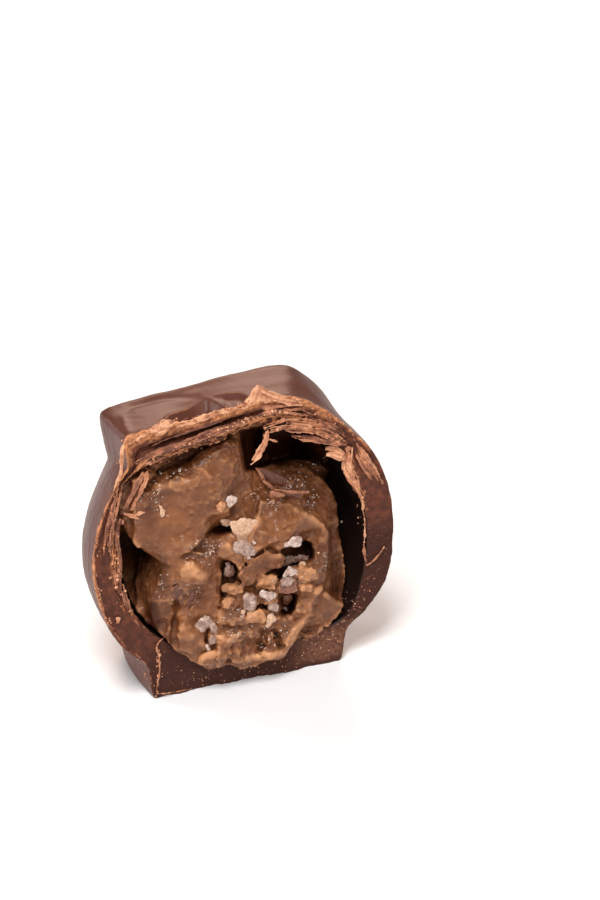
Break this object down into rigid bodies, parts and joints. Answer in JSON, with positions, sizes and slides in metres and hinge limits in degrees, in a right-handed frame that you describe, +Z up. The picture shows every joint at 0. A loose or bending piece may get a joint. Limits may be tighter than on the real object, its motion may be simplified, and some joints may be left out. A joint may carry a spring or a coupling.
{
  "type": "chocolate truffle, cut open",
  "caption": "Moulded chocolate truffle cut open from top to bottom: a thick shell with a flat foot round a soft, sticky filling with crisps and crystals.",
  "frame": {"origin": "centre of the flat foot that the half stands on", "axes": "+Z up out of the foot, +X to the right along the cut face, -Y out of the cut face towards the viewer"},
  "size_m": [0.037, 0.0232, 0.0385],
  "materials": {
    "chocolate_shell": "satin",
    "soft_filling": "gloss",
    "chocolate_shaving": "matte",
    "crisp": "matte",
    "crystal": "satin"
  },
  "bodies": {
    "root": {"shell": "chocolate_shell", "filling": "soft_filling"}
  },
  "joints": []
}
